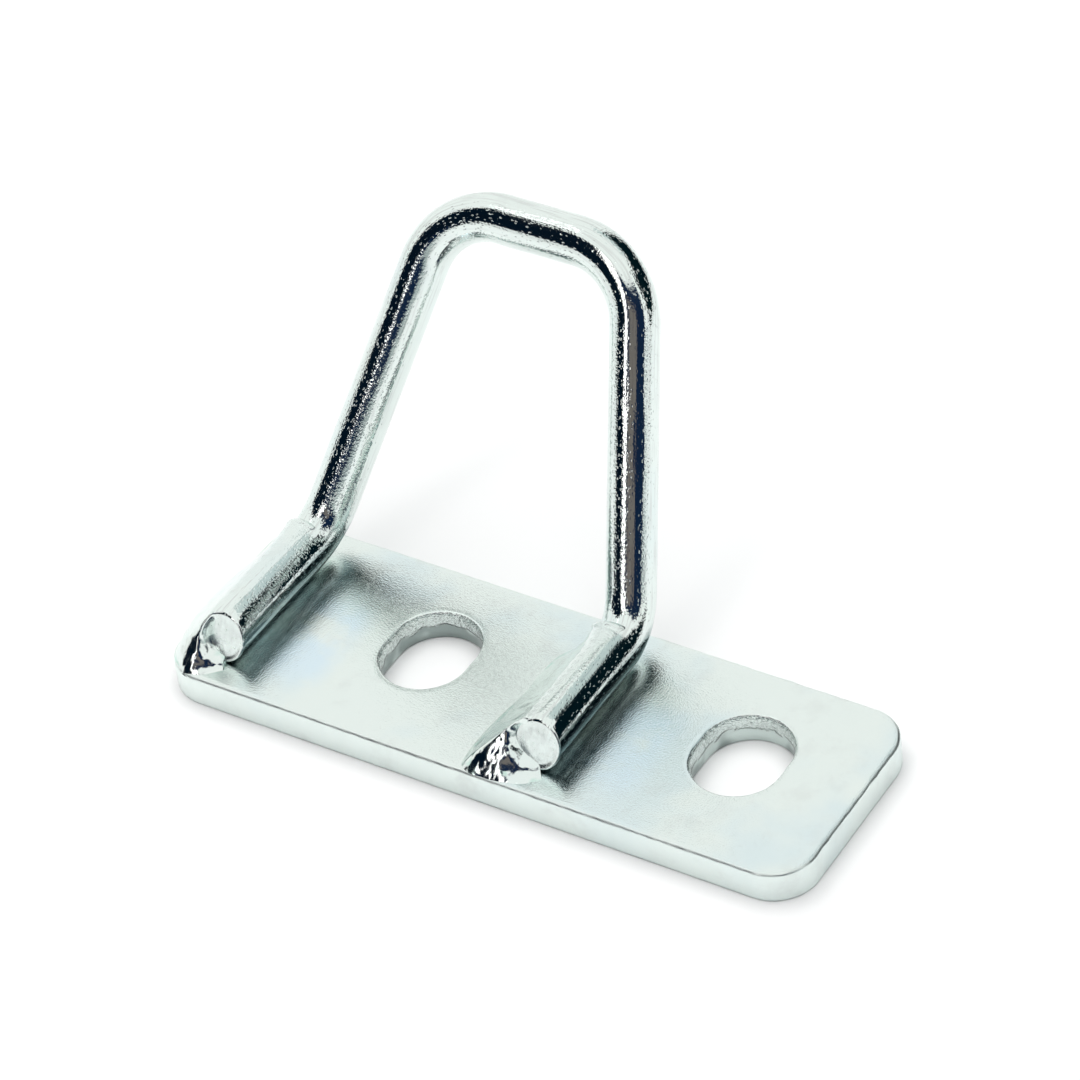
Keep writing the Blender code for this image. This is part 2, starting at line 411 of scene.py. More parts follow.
def make_bar_material(finish):
    """Bright zinc with drawn streaks, patches of fine pits and painted shade on the feet's lower side."""
    material, nodes, shader = new_zinc_material("drawn_zinc_bar")
    where = nodes.position()
    drawn = nodes.position(scale=(1.0, 1.0, 0.06), attribute="bar_place")
    dragged = nodes.position(scale=(1.0, 1.0, 0.4), attribute="bar_place")
    _, _, height = nodes.split(where)
    # Painted shade: between two heights the feet's lower side turns dark teal, in drawn lines, standing in
    # for the shade and dark reflections there.
    below = nodes.fit(height, *PAINTED_SHADE_TOP, 0.0, 0.85, smooth=True)
    above = nodes.fit(height, *PAINTED_SHADE_BOTTOM, smooth=True)
    lines = nodes.fit(nodes.noise(drawn, scale=1.1, detail=1.0), 0.56, 0.60, 1.0, 0.35)
    drag = nodes.noise(drawn, scale=2.8, detail=3.0, roughness=0.6)
    drag = nodes.fit(drag, 0.50, 0.66, 0.0, 0.55, smooth=True)
    colour = zinc_colour(nodes, where, finish, blue_amount=0.25, dull_amount=0.2)
    colour = nodes.mix(drag, colour, rgba(finish.zinc_dull))
    colour = nodes.mix(nodes.product(below, above, lines), colour, rgba(finish.painted_foot_shade))
    nodes.link(colour, shader.inputs["Base Color"])
    vary_roughness(nodes, shader, nodes.noise(drawn, scale=1.4, detail=4.0, roughness=0.6),
                   finish.bar_roughness - 0.04, finish.bar_roughness + 0.05)
    pitted = nodes.fit(nodes.noise(drawn, scale=0.5), 0.36, 0.52, 0.35, 1.0, smooth=True)
    pits = nodes.product(nodes.noise(where, scale=3.6, detail=1.0), pitted)
    flecks = nodes.fit(nodes.cells(dragged, scale=3.2), 0.08, 0.32, smooth=True)
    flecks = nodes.product(flecks, pitted)
    streaks = nodes.noise(drawn, scale=2.2)
    nodes.relief(shader, (streaks, 0.024, 0.8), (pits, 0.028, 0.9), (flecks, 0.026, 0.9))
    return material


def make_cut_end_material(finish):
    """Duller zinc with upright drag marks left by the shear."""
    material, nodes, shader = new_zinc_material("sheared_zinc_bar_end")
    where = nodes.position()
    upright = nodes.position(scale=(1.0, 1.0, 0.3))
    drag = nodes.noise(upright, scale=1.7, detail=3.0, roughness=0.6)
    shade = nodes.fit(drag, 0.42, 0.62, 0.0, 0.35, smooth=True)
    colour = zinc_colour(nodes, where, finish, blue_amount=0.1, dull_amount=0.5)
    nodes.link(nodes.mix(shade, colour, rgba(finish.zinc_dull)), shader.inputs["Base Color"])
    vary_roughness(nodes, shader, nodes.noise(where, scale=1.5, detail=3.0), 0.18, 0.30)
    nodes.relief(shader, (drag, 0.045, 0.7))
    return material


def make_weld_material(finish):
    """Zinc over weld metal: green stains at the toe, lumps in front, grain along the upper lip."""
    material, nodes, shader = new_zinc_material("zinc_over_weld")
    where = nodes.position()
    _, y, height = nodes.split(where)
    # In the welds the stain mask is only a real green flux stain, with no painted shade.
    low = nodes.fit(height, *FLUX_STAIN, smooth=True)
    patches = nodes.fit(nodes.noise(where, scale=0.33), 0.52, 0.60, smooth=True)
    stain_and_shade = nodes.product(low, patches, 0.6)
    colour = zinc_colour(nodes, where, finish, blue_amount=0.2, dull_amount=0.25)
    nodes.link(nodes.mix(stain_and_shade, colour, rgba(finish.flux_green)), shader.inputs["Base Color"])
    vary_roughness(nodes, shader, nodes.noise(where, scale=0.8, detail=3.0),
                   finish.weld_roughness - 0.05, finish.weld_roughness + 0.10)
    front = nodes.fit(y, *KNOBS_FRONT, smooth=True)
    knobs = nodes.product(nodes.noise(where, scale=0.8, detail=1.0), front)
    lip = nodes.fit(height, *BEAD_LIP, 0.12, 1.0, smooth=True)
    grain = nodes.product(nodes.noise(where, scale=2.8, detail=3.0, roughness=0.6), lip)
    swell = nodes.noise(where, scale=0.7, detail=1.0, distortion=0.5)
    nodes.relief(shader, (swell, 0.05, 0.6), (knobs, 0.22, 0.8), (grain, 0.16, 0.8))
    return material


# ---- Plate ----

FACE_ZINC, EDGE_ZINC, WALL_ZINC = range(3)
OUTLINE_SPACING = 0.5 * MM
SLOT_SPACING = 0.4 * MM
# The ring of the outer profile where the sheared edge's finish meets the face's, and of the slot's
# profile where the face's meets the wall's.
LAST_EDGE_RING = 11
FIRST_WALL_RING = 2


def rounded_contour(half_x, half_y, radius, spacing, centre=(0.0, 0.0)):
    """Evenly spaced points of a rounded rectangle, anticlockwise, each with its outward direction."""
    contour = []
    corners = ((1, 1), (-1, 1), (-1, -1), (1, -1))
    arc_centres = [Vector((centre[0] + side_x * (half_x - radius), centre[1] + side_y * (half_y - radius)))
                   for side_x, side_y in corners]
    arc_steps = max(4, round(math.pi / 2 * radius / spacing))
    for quarter, arc_centre in enumerate(arc_centres):
        for step in range(arc_steps + 1):
            angle = math.pi / 2 * (quarter + step / arc_steps)
            outward = Vector((math.cos(angle), math.sin(angle)))
            contour.append((arc_centre + outward * radius, outward))
        run = arc_centres[(quarter + 1) % 4] - arc_centre
        if run.length < spacing / 4:
            contour.pop()
            continue
        straight_steps = max(1, round(run.length / spacing))
        start, outward = contour[-1]
        for step in range(1, straight_steps):
            contour.append((start + run * (step / straight_steps), outward))
    return contour


def profile_rings(bm, contour, profile, sign=1):
    """One ring of points for each (inset, height, unevenness) of the profile; sign -1 is for a hole."""
    rings = []
    for inset, height, unevenness in profile:
        ring = []
        for point, outward in contour:
            place = Vector((point.x, point.y, height))
            uneven = unevenness * (wobble(place, 1.1 * MM, 3) + 0.5 * wobble(place, 0.45 * MM, 8))
            offset = outward * (-sign * inset + uneven)
            lift = 1.5 * unevenness * wobble(place, 1.5 * MM, 12)
            ring.append(bm.verts.new((place.x + offset.x, place.y + offset.y, height + lift)))
        rings.append(ring)
    return rings


def build_plate(settings):
    """The slotted plate: rolled outer edges, and punched slots with a torn upper band."""
    half_x = (PLATE_HIGH.x - PLATE_LOW.x) / 2
    half_y = (PLATE_HIGH.y - PLATE_LOW.y) / 2
    top, bottom = PLATE_TOP, PLATE_LOW.z
    edge = settings.edge_round
    outer_profile = [
        (2.0 * edge, bottom, 0.0),
        (0.9 * edge, bottom, 0.0),
        (0.35 * edge, bottom + 0.10 * edge, 0.0),
        (0.10 * edge, bottom + 0.40 * edge, 0.02 * MM),
        (0.04 * MM, bottom + 1.0 * edge, 0.03 * MM),
        *((0.03 * MM, bottom + rise * MM, 0.03 * MM) for rise in (1.4, 2.2, 3.0)),
        (0.05 * MM, top - 1.1 * edge, 0.05 * MM),
        (0.20 * edge, top - 0.50 * edge, 0.06 * MM),
        (0.50 * edge, top - 0.18 * edge, 0.035 * MM),
        (1.0 * edge, top, 0.0),
        (2.2 * edge, top, 0.0),
    ]
    slot_profile = [
        (2.4 * edge, top, 0.0),
        (0.9 * edge, top, 0.0),
        (0.35 * edge, top - 0.12 * edge, 0.02 * MM),
        (0.02 * edge, top - 0.5 * edge, 0.03 * MM),
        (-0.14 * edge, top - 1.1 * edge, 0.07 * MM),
        (-0.12 * edge, top - 0.75 * MM, 0.10 * MM),
        (-0.10 * edge, top - 1.05 * MM, 0.10 * MM),
        (-0.06 * edge, top - 1.35 * MM, 0.10 * MM),
        (0.0, top - 1.70 * MM, 0.10 * MM),
        (0.10 * edge, top - 2.05 * MM, 0.03 * MM),
        (0.18 * edge, bottom + 1.0 * MM, 0.0),
        (0.18 * edge, bottom + 0.35 * MM, 0.0),
        (0.40 * edge, bottom + 0.10 * MM, 0.0),
        (1.1 * edge, bottom, 0.0),
        (2.4 * edge, bottom, 0.0),
    ]
    bm = bmesh.new()
    outline = rounded_contour(half_x, half_y, settings.corner_radius, OUTLINE_SPACING)
    outer = profile_rings(bm, outline, outer_profile)
    skin(bm, outer[:LAST_EDGE_RING + 1], EDGE_ZINC)
    skin(bm, outer[LAST_EDGE_RING:], FACE_ZINC)
    top_rings, bottom_rings = [outer[-1]], [outer[0]]
    for slot_x in settings.slot_x:
        outline = rounded_contour(settings.slot_width / 2, settings.slot_length / 2, settings.slot_width / 2,
                                  SLOT_SPACING, (slot_x, settings.slot_y))
        rings = profile_rings(bm, outline, slot_profile, sign=-1)
        skin(bm, rings[:FIRST_WALL_RING + 1], FACE_ZINC)
        skin(bm, rings[FIRST_WALL_RING:], WALL_ZINC)
        top_rings.append(rings[0])
        bottom_rings.append(rings[-1])
    for rings in (top_rings, bottom_rings):
        rims = [bm.edges.get((ring[i - 1], ring[i])) for ring in rings for i in range(len(ring))]
        bmesh.ops.triangle_fill(bm, use_beauty=True, edges=rims, normal=(0, 0, 1))
    return bm


class PADEYE_OT_plate(bpy.types.Operator):
    """Build the slotted base plate"""

    bl_idname = "padeye.plate"
    bl_label = "Base Plate"

    def execute(self, context):
        settings = context.scene.pad_eye
        materials = [
            make_plate_face_material(settings.finish, BarPath(settings.loop).foot_x.values()),
            make_plate_edge_material(settings.finish),
            make_slot_wall_material(settings.finish),
        ]
        add_piece("slotted_plate", build_plate(settings.plate), materials, ["base_plate"])
        return {"FINISHED"}


# ---- Loop ----

BAR_SIDES = 56
BAR_SPACING = 0.55 * MM
END_STEPS = tuple(step * MM for step in (0.0, 0.08, 0.18, 0.30, 0.45, 0.64, 0.88, 1.2, 1.6))
# How far from a cut end its slant, its rolled edge and its flare reach.
SLANT_LENGTH = 3.0 * MM
ROLL_LENGTH = 1.6 * MM
FLARE_LENGTH = 0.7 * MM
END_FLARE = 0.08 * MM
# How much a bend flattens the bar's outer side, and how uneven drawing left it, round and along.
BEND_FLATTENING = 0.035
ROUND_UNEVENNESS = 0.012 * MM
DRAWN_UNEVENNESS = 0.008 * MM


class BarPath:
    """The bar's centre line, worked out from the solid loop's box and the loop's settings."""

    def __init__(self, settings):
        self.radius = settings.bar_diameter / 2
        self.slant = settings.end_slant
        self.end_roll = settings.end_roll
        centre_x = (LOOP_LOW.x + LOOP_HIGH.x) / 2
        half_base = (LOOP_HIGH.x - LOOP_LOW.x) / 2 - self.radius
        foot_z = LOOP_LOW.z + self.radius
        top = Vector((settings.top_width / 2, LOOP_HIGH.y - self.radius, LOOP_HIGH.z - self.radius))
        foot_y = top.y - (top.z - foot_z) * math.tan(settings.lean)
        end_y = LOOP_LOW.y + self.slant * self.radius
        half = [Vector((half_base, end_y, foot_z)), Vector((half_base, foot_y, foot_z)), top]
        left = [Vector((centre_x - point.x, point.y, point.z)) for point in half]
        left[0].x -= settings.toe_out
        right = [Vector((centre_x + point.x, point.y, point.z)) for point in reversed(half)]
        self.foot_x = {"left": centre_x - half_base, "right": centre_x + half_base}
        self.foot_z = foot_z
        self.end_y = end_y
        bends = (settings.foot_bend, settings.top_bend, settings.top_bend, settings.foot_bend)
        self.points, self.bending = self._round_corners(left + right, bends)
        self.lengths = [0.0]
        for before, after in zip(self.points, self.points[1:]):
            self.lengths.append(self.lengths[-1] + (after - before).length)

    def _round_corners(self, corners, bends):
        """Evenly spaced points along the bar, and the unit direction to each bend's centre."""
        points, bending = [], []
        reached = corners[0]
        for before, corner, after, bend in zip(corners, corners[1:], corners[2:], bends):
            back = (before - corner).normalized()
            ahead = (after - corner).normalized()
            half_angle = back.angle(ahead) / 2
            centre = corner + (back + ahead).normalized() * bend / math.sin(half_angle)
            start = corner + back * bend / math.tan(half_angle)
            self._straight(points, bending, reached, start)
            spoke = start - centre
            turn = math.pi - 2 * half_angle
            steps = round(turn * bend / BAR_SPACING)
            for step in range(1, steps + 1):
                angle = turn * step / steps
                point = centre + spoke * math.cos(angle) - back * bend * math.sin(angle)
                strength = math.sin(math.pi * step / steps) ** 0.5
                points.append(point)
                bending.append((centre - point).normalized() * strength)
            reached = points[-1]
        self._straight(points, bending, reached, corners[-1], last=True)
        return points, bending

    def _straight(self, points, bending, start, end, last=False):
        """Points from start to end, closer together at the bar's own two ends."""
        run = (end - start).length
        steps = max(1, round(run / BAR_SPACING))
        distances = [run * step / steps for step in range(1, steps)]
        if not points:
            distances = [*END_STEPS, *(d for d in distances if d > END_STEPS[-1] + BAR_SPACING / 2)]
        if last:
            back = [run - d for d in reversed(END_STEPS)]
            distances = [*(d for d in distances if d < back[0] - BAR_SPACING / 2), *back]
        for distance in distances:
            points.append(start.lerp(end, distance / run))
            bending.append(Vector())

    def foot_frame(self, side, along):
        """The centre, sideways (-X) and upper directions at a distance from a foot's end."""
        total = self.lengths[-1]
        target = min(max(along, 0.0), total)
        if side == "right":
            target = total - target
        index = min(max(bisect_left(self.lengths, target), 1), len(self.lengths) - 1)
        before, after = self.points[index - 1], self.points[index]
        share = (target - self.lengths[index - 1]) / (self.lengths[index] - self.lengths[index - 1])
        tangent = (after - before).normalized() * (1 if side == "left" else -1)
        centre = before.lerp(after, share) + tangent * min(along, 0.0)
        sideways = Vector((-1, 0, 0))
        sideways = (sideways - tangent * sideways.dot(tangent)).normalized()
        return centre, sideways, tangent.cross(sideways)


def bar_rings(bm, path, store):
    """Rings round the bar, slightly flattened outside each bend, with drawn unevenness."""
    rings = []
    side = Vector((1, 0, 0))
    last = len(path.points) - 1
    for index, point in enumerate(path.points):
        before = path.points[max(index - 1, 0)]
        after = path.points[min(index + 1, last)]
        travelled = path.lengths[index]
        tangent = (after - before).normalized()
        side = (side - tangent * side.dot(tangent)).normalized()
        other = tangent.cross(side)
        inward = path.bending[index]
        from_end = min(travelled, path.lengths[-1] - travelled)
        slant = path.slant * max(0.0, 1.0 - from_end / SLANT_LENGTH)
        flare = END_FLARE * max(0.0, 1.0 - from_end / FLARE_LENGTH) ** 2
        roll = path.end_roll * (1.0 - math.sqrt(1.0 - max(0.0, 1.0 - from_end / ROLL_LENGTH) ** 2))
        ring = []
        for step in range(BAR_SIDES):
            angle = math.tau * step / BAR_SIDES
            direction = side * math.cos(angle) + other * math.sin(angle)
            flatten = 1.0 - BEND_FLATTENING * max(0.0, -direction.dot(inward)) ** 2
            straight = Vector((math.cos(angle), math.sin(angle), 0)) * path.radius
            straight.z = travelled
            uneven = ROUND_UNEVENNESS * wobble(straight, 2.5 * MM, 5)
            uneven += DRAWN_UNEVENNESS * wobble((straight.x, straight.y, straight.z * 0.1), 0.8 * MM, 2)
            rolled = roll * max(0.0, direction.z) ** 1.5
            place = point + direction * (path.radius * flatten + uneven + flare - rolled)
            place.y += slant * (place.z - point.z)
            vertex = bm.verts.new(place)
            vertex[store] = straight
            ring.append(vertex)
        rings.append(ring)
    return rings


BAR_ZINC, CUT_ZINC = range(2)
CUT_TEAR = 0.05 * MM
CUT_MIDDLE = 0.13 * MM
# The sheared end from its rim inwards: (share of the radius, burr height, height), heights in mm.
CAP_PROFILE = (
    (0.985, 0.07, 0.05), (0.95, 0.13, 0.08), (0.90, 0.11, 0.08), (0.83, 0.03, 0.05), (0.75, 0.0, 0.04),
    (0.62, 0.0, 0.06), (0.46, 0.0, 0.09), (0.30, 0.0, 0.11), (0.14, 0.0, 0.12))


def cap_bar_end(bm, ring, store, outward, seed):
    """A sheared end face inside the last ring: a burr at the rim, then an uneven, slightly domed cut."""
    centre = sum((vertex.co for vertex in ring), Vector()) / len(ring)
    rings = [ring]
    for share, burr, push in CAP_PROFILE:
        inner = []
        for vertex in ring:
            spoke = vertex.co - centre
            place = centre + spoke * share
            torn = max(0.0, (spoke.x - spoke.z) / spoke.length / math.sqrt(2))
            tear = CUT_TEAR * wobble((place.x, place.y, place.z * 0.4), 1.6 * MM, seed)
            new = bm.verts.new(place + outward * (push * MM + burr * torn * MM + tear))
            new[store] = vertex[store]
            inner.append(new)
        rings.append(inner)
    skin(bm, rings[:3], BAR_ZINC)
    skin(bm, rings[2:], CUT_ZINC)
    middle = bm.verts.new(centre + outward * CUT_MIDDLE)
    middle[store] = ring[0][store]
    last = rings[-1]
    for step in range(len(last)):
        face = bm.faces.new((last[step - 1], last[step], middle))
        face.material_index = CUT_ZINC


def build_loop(settings):
    """The whole bar from cut end to cut end; bar_place keeps where each point lay before bending."""
    path = BarPath(settings)
    bm = bmesh.new()
    store = bm.verts.layers.float_vector.new("bar_place")
    rings = bar_rings(bm, path, store)
    skin(bm, rings)
    outward = Vector((0, -1, path.slant)).normalized()
    cap_bar_end(bm, rings[0], store, outward, 11)
    cap_bar_end(bm, rings[-1], store, outward, 23)
    return bm


class PADEYE_OT_loop(bpy.types.Operator):
    """Build the bent round-bar loop"""

    bl_idname = "padeye.loop"
    bl_label = "Bar Loop"

    def execute(self, context):
        settings = context.scene.pad_eye
        materials = [make_bar_material(settings.finish), make_cut_end_material(settings.finish)]
        add_piece("bent_bar_loop", build_loop(settings.loop), materials, ["wire_loop"],
                  sharp_degrees=60)
        return {"FINISHED"}


# ---- Welds ----

# A bead's stations from the bend to the cut end, in millimetres and degrees: distance from the cut end,
# the angles where the bead starts and where it leaves the bar, from the bar's upper side towards -X, its
# thickness there, its toe's distance to -X of the foot's axis, the toe's y, the slope at the toe, and
# how far the bead keeps its direction where it leaves the bar and where it meets the toe.
RIGHT_BEAD = (
    (21.00, -20, 70, -0.50, 1.7, 13.0, 70, 0.4, 0.7),
    (20.30, -32, 64, -0.30, 2.5, 12.7, 60, 0.6, 1.0),
    (19.95, -34, 64, 0.30, 2.8, 12.4, 58, 0.8, 1.2),
    (19.2, -32, 60, 0.70, 3.6, 11.9, 50, 1.2, 1.6),
    (17.8, -22, 50, 0.50, 5.4, 10.8, 40, 1.8, 2.4),
    (14.8, -8, 44, 0.24, 8.0, 7.6, 34, 2.6, 3.0),
    (11.5, -2, 40, 0.18, 8.6, 3.6, 34, 2.8, 3.0),
    (8.0, 0, 40, 0.18, 8.5, 0.0, 38, 2.8, 2.8),
    (5.0, 3, 40, 0.20, 8.9, -3.6, 44, 3.2, 2.8),
    (2.4, 9, 42, 0.22, 9.2, -7.0, 48, 3.2, 2.8),
    (1.2, 14, 44, 0.22, 9.3, -10.2, 50, 3.0, 2.6),
)
LEFT_BEAD = (
    (21.00, -20, 70, -0.50, 1.7, 13.0, 70, 0.4, 0.7),
    (20.30, -32, 64, -0.30, 2.6, 12.7, 64, 0.6, 1.0),
    (19.95, -34, 64, 0.30, 2.9, 12.4, 64, 0.8, 1.2),
    (19.2, -32, 60, 0.70, 3.6, 11.8, 62, 1.2, 1.6),
    (17.8, -24, 54, 0.56, 5.0, 10.2, 64, 2.0, 2.2),
    (14.8, -12, 48, 0.34, 6.3, 7.0, 70, 3.0, 2.8),
    (11.5, -6, 46, 0.28, 7.0, 3.4, 74, 3.6, 3.0),
    (8.0, -4, 44, 0.28, 7.40, 0.0, 78, 4.0, 3.2),
    (5.0, 0, 44, 0.26, 7.50, -3.4, 80, 4.0, 3.2),
    (2.4, 8, 46, 0.26, 7.50, -6.6, 80, 3.8, 3.2),
    (1.2, 14, 48, 0.24, 7.40, -9.0, 78, 3.4, 3.0),
)
# The blob that wraps round the cut end: its crest's distance to -X, y and height above the plate, its
# toe's distance to -X and y, the slope at the toe, and how far it keeps both directions.
RIGHT_BLOB = (
    ((2.3, -9.3, 5.85), (9.1, -12.8), 50, 2.6, 2.2),
    ((3.3, -9.9, 5.2), (8.6, -14.2), 60, 1.6, 2.0),
    ((3.9, -10.7, 4.2), (7.2, -14.9), 62, 1.2, 1.7),
    ((3.6, -11.6, 3.1), (5.4, -14.9), 60, 0.9, 1.4),
    ((2.9, -12.3, 2.1), (3.7, -14.9), 54, 0.7, 1.0),
    ((1.9, -12.5, 1.2), (2.0, -14.9), 38, 0.6, 0.7),
    ((0.4, -12.0, 0.7), (0.0, -14.4), 24, 0.5, 0.6),
    ((-0.8, -11.3, 0.4), (-2.0, -12.9), 14, 0.3, 0.4),
)
LEFT_BLOB = (
    ((2.3, -9.4, 5.85), (7.2, -10.6), 72, 2.0, 2.4),
    ((2.7, -10.3, 5.1), (6.8, -12.0), 70, 1.3, 2.1),
    ((3.0, -11.1, 4.1), (6.0, -13.2), 68, 0.9, 1.6),
    ((3.0, -11.9, 3.0), (4.9, -14.1), 62, 0.7, 1.2),
    ((2.7, -12.6, 2.0), (3.7, -14.7), 52, 0.6, 0.9),
    ((2.0, -12.9, 1.2), (2.4, -14.8), 38, 0.5, 0.6),
    ((0.9, -12.5, 0.6), (0.8, -14.3), 24, 0.4, 0.5),
    ((-0.2, -11.6, 0.4), (-1.0, -13.0), 14, 0.3, 0.4),
)
FEET = (("left", LEFT_BEAD, LEFT_BLOB, 2.0), ("right", RIGHT_BEAD, RIGHT_BLOB, 7.0))

OVER_BAR_STEPS = 9
DOWN_STEPS = 24
STATION_STEPS = 13
HIDDEN_DEPTH = 0.35 * MM
# How deep in millimetres the bead starts inside the bar, and how much deeper at the rolled cut end.
START_SUNK = 0.10
END_SUNK = 0.9
# How steeply a blob falls from its crest, and how far before the crest that slope begins.
BLOB_FALL = math.radians(42)
CREST_LEAD = 0.6 * MM
# Depth in millimetres and size of the lumps, then of the ripples that the weld pool left.
LUMP_DEPTH, LUMP_SIZE = 0.13, 2.6 * MM
FINE_LUMP_DEPTH, FINE_LUMP_SIZE = 0.04, 1.1 * MM
RIPPLE_DEPTH, RIPPLE_PITCH = 0.05, 1.35 * MM
RIPPLE_PATCH = 4.0 * MM
# Where a bead's hidden inner corner lies: to -X of the foot's axis, and behind the toe or the cut end.
CORE_SIDE = 0.4 * MM
CORE_BEHIND_TOE = 2 * MM
CORE_BEHIND_END = 0.9 * MM
RIM_CLEARANCE = 0.03 * MM


def bezier(start, start_pull, end_pull, end, steps):
    """Points along a cubic curve after its start, up to its end."""
    points = []
    for step in range(1, steps + 1):
        t = step / steps
        points.append(start * (1 - t) ** 3 + start_pull * 3 * t * (1 - t) ** 2
                      + end_pull * 3 * t ** 2 * (1 - t) + end * t ** 3)
    return points


def toe_point(foot_x, toe_side, toe_y):
    """Where a bead's outer surface passes through the plate's top, a little below it."""
    return Vector((foot_x - toe_side * MM, toe_y * MM, PLATE_TOP - HIDDEN_DEPTH))


def down_to_toe(start, ahead, reach, toe, out, slope, toe_reach):
    """From a point on the bead down to its toe, which it meets at a slope in degrees."""
    slope = math.radians(slope)
    rising = Vector((0, 0, 1)) * math.sin(slope) - out * math.cos(slope)
    return bezier(start, start + ahead * reach * MM, toe + rising * toe_reach * MM, toe, DOWN_STEPS)


def bar_section(path, side, station):
    """Over the bar from where the bead starts, then down to its toe on the plate."""
    along, start, leave, thickness, toe_side, toe_y, slope, reach, toe_reach = station
    centre, sideways, upper = path.foot_frame(side, along * MM)
    points = []
    for step in range(OVER_BAR_STEPS):
        share = step / (OVER_BAR_STEPS - 1)
        angle = math.radians(start + (leave - start) * share)
        risen = share ** 0.8
        sunk = START_SUNK + END_SUNK * max(0.0, 1.0 - along * MM / ROLL_LENGTH)
        rise = thickness * risen - sunk * (1.0 - risen)
        radius = path.radius + rise * MM
        points.append(centre + (sideways * math.sin(angle) + upper * math.cos(angle)) * radius)
    angle = math.radians(leave)
    ahead = sideways * math.cos(angle) - upper * math.sin(angle)
    toe = toe_point(path.foot_x[side], toe_side, toe_y)
    out = Vector((toe.x - centre.x, toe.y - centre.y, 0)).normalized()
    return points + down_to_toe(points[-1], ahead, reach, toe, out, slope, toe_reach)


def blob_section(path, side, station):
    """From inside the cut end over the blob's crest, then down to its toe on the plate."""
    (crest_side, crest_y, crest_height), (toe_side, toe_y), slope, reach, toe_reach = station
    foot_x = path.foot_x[side]
    crest = Vector((foot_x - crest_side * MM, crest_y * MM, PLATE_TOP + crest_height * MM))
    axis = Vector((foot_x, path.end_y + CREST_LEAD, path.foot_z))
    hidden = axis.lerp(Vector((crest.x, axis.y, crest.z)), 0.7)
    toe = toe_point(foot_x, toe_side, toe_y)
    out = Vector((toe.x - crest.x, toe.y - crest.y, 0)).normalized()
    falling = out * math.cos(BLOB_FALL) - Vector((0, 0, 1)) * math.sin(BLOB_FALL)
    over = crest - falling * CREST_LEAD
    points = [hidden, *bezier(hidden, hidden.lerp(over, 0.6), over, crest, OVER_BAR_STEPS - 1)]
    return points + down_to_toe(crest, falling, reach, toe, out, slope, toe_reach)


def smooth_between(sections):
    """Catmull-Rom sections through the given ones, point by point."""
    first = [a * 2 - b for a, b in zip(sections[0], sections[1])]
    last = [a * 2 - b for a, b in zip(sections[-1], sections[-2])]
    padded = [first, *sections, last]
    result = []
    for s0, s1, s2, s3 in zip(padded, padded[1:], padded[2:], padded[3:]):
        for step in range(STATION_STEPS):
            t = step / STATION_STEPS
            result.append([
                0.5 * (2 * b + (c - a) * t + (2 * a - 5 * b + 4 * c - d) * t ** 2
                       + (3 * b - a - 3 * c + d) * t ** 3)
                for a, b, c, d in zip(s0, s1, s2, s3)])
    result.append(sections[-1])
    return result


def roughen(sections, seed, rippled_rows):
    """Pushes the bead in and out along its own normal: lumps, and ripples left by the weld pool."""
    rows, columns = len(sections), len(sections[0])
    result = []
    for row in range(rows):
        before, after = sections[max(row - 1, 0)], sections[min(row + 1, rows - 1)]
        start_y = sections[row][0].y
        pushed = []
        for column in range(columns):
            left = sections[row][max(column - 1, 0)]
            right = sections[row][min(column + 1, columns - 1)]
            point = sections[row][column]
            normal = (right - left).cross(after[column] - before[column])
            normal = normal.normalized() if normal.length > 0 else Vector()
            share = column / (columns - 1)
            pool = math.sin(math.pi * min(1.0, share * 1.05)) ** 0.5
            lumps = LUMP_DEPTH * wobble(point, LUMP_SIZE, seed)
            lumps += FINE_LUMP_DEPTH * wobble(point, FINE_LUMP_SIZE, seed + 4)
            patchy = 0.5 + 0.5 * wobble(point, RIPPLE_PATCH, seed + 6)
            fading = min(1.0, max(0.0, (rippled_rows - row) / STATION_STEPS))
            phase = math.tau * start_y / RIPPLE_PITCH + 5.0 * share * share
            ripple = RIPPLE_DEPTH * fading * patchy * math.sin(phase)
            pushed.append(point + normal * (lumps + ripple) * pool * MM)
        result.append(pushed)
    return result


def build_bead(path, side, bead, blob, seed):
    """A closed bead skinned through its sections, sunk a little into the bar and the plate."""
    sections = [bar_section(path, side, station) for station in bead]
    sections += [blob_section(path, side, station) for station in blob]
    bm = bmesh.new()
    rings = []
    for section in roughen(smooth_between(sections), seed, STATION_STEPS * (len(bead) - 1)):
        start, toe = section[0], section[-1]
        under = PLATE_TOP - HIDDEN_DEPTH
        inside_x = path.foot_x[side] - CORE_SIDE
        inside_y = max(min(start.y, toe.y + CORE_BEHIND_TOE), path.end_y + CORE_BEHIND_END)
        section += [Vector((inside_x, inside_y, under)), Vector((inside_x, inside_y, (under + start.z) / 2))]
        ring = []
        for point in section:
            x = max(point.x, PLATE_LOW.x + RIM_CLEARANCE)
            y = max(point.y, PLATE_LOW.y + RIM_CLEARANCE)
            ring.append(bm.verts.new((x, y, point.z)))
        rings.append(ring)
    skin(bm, rings)
    bm.faces.new(rings[0])
    bm.faces.new(reversed(rings[-1]))
    return bm


class PADEYE_OT_welds(bpy.types.Operator):
    """Build the weld beads beside and in front of both feet"""

    bl_idname = "padeye.welds"
    bl_label = "Weld Beads"

    def execute(self, context):
        settings = context.scene.pad_eye
        path = BarPath(settings.loop)
        material = make_weld_material(settings.finish)
        for side, bead, blob, seed in FEET:
            bm = build_bead(path, side, bead, blob, seed)
            stands_for = [side + "_side_weld", side + "_end_weld"]
            add_piece(side + "_weld_bead", bm, [material], stands_for, sharp_degrees=80)
        return {"FINISHED"}


# ---- Studio ----

FLOOR_HALF_SIZE = 6.0
FLOOR_DROP = 0.02 * MM
FLOOR_SHADE = (0.85, 0.86, 0.86)


